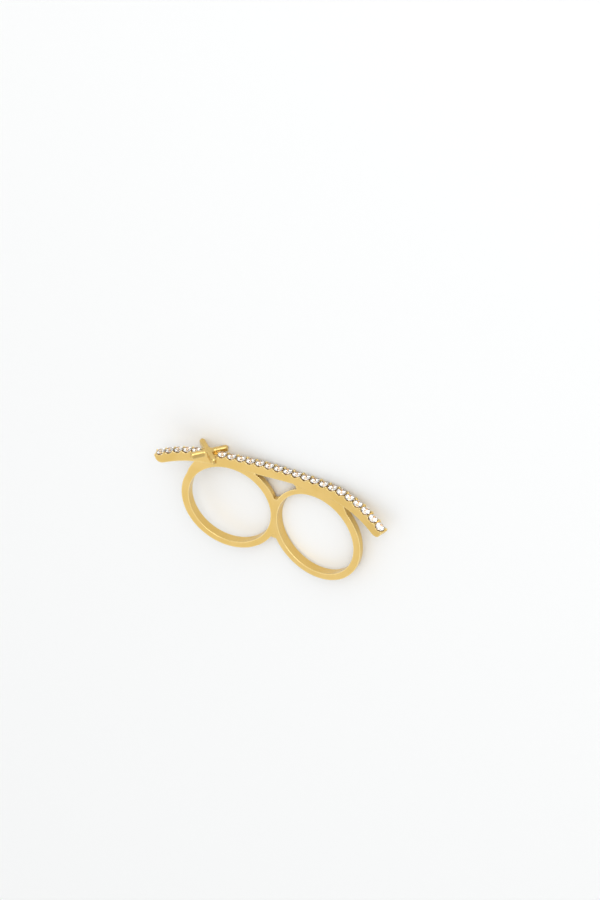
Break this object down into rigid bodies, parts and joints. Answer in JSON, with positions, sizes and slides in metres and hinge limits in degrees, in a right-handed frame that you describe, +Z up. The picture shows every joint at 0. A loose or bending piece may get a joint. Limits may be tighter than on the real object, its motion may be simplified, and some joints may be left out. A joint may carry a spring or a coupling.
{
  "type": "double ring",
  "caption": "Double ring worn across neighbouring fingers: joined flat-faced hoops under a slim bent bar that carries a row of round cut stones and a small crossed motif.",
  "frame": {"origin": "on the floor under the middle of the space that the ring takes as it lies on its back", "axes": "+X along the bar to the wearer's right in the front view, +Y from the finger holes to the bar, +Z up from the floor, out of the ring's front"},
  "size_m": [0.0482, 0.0216, 0.0071],
  "materials": {
    "gold_metal": "satin",
    "clear_stone": "polished"
  },
  "bodies": {
    "root": {"ring_frame": "gold_metal", "stone_01": "clear_stone", "stone_02": "clear_stone", "stone_03": "clear_stone", "stone_04": "clear_stone", "stone_05": "clear_stone", "stone_06": "clear_stone", "stone_07": "clear_stone", "stone_08": "clear_stone", "stone_09": "clear_stone", "stone_10": "clear_stone", "stone_11": "clear_stone", "stone_12": "clear_stone", "stone_13": "clear_stone", "stone_14": "clear_stone", "stone_15": "clear_stone", "stone_16": "clear_stone", "stone_17": "clear_stone", "stone_18": "clear_stone", "stone_19": "clear_stone", "stone_20": "clear_stone", "stone_21": "clear_stone", "stone_22": "clear_stone", "stone_23": "clear_stone", "stone_24": "clear_stone"}
  },
  "joints": []
}
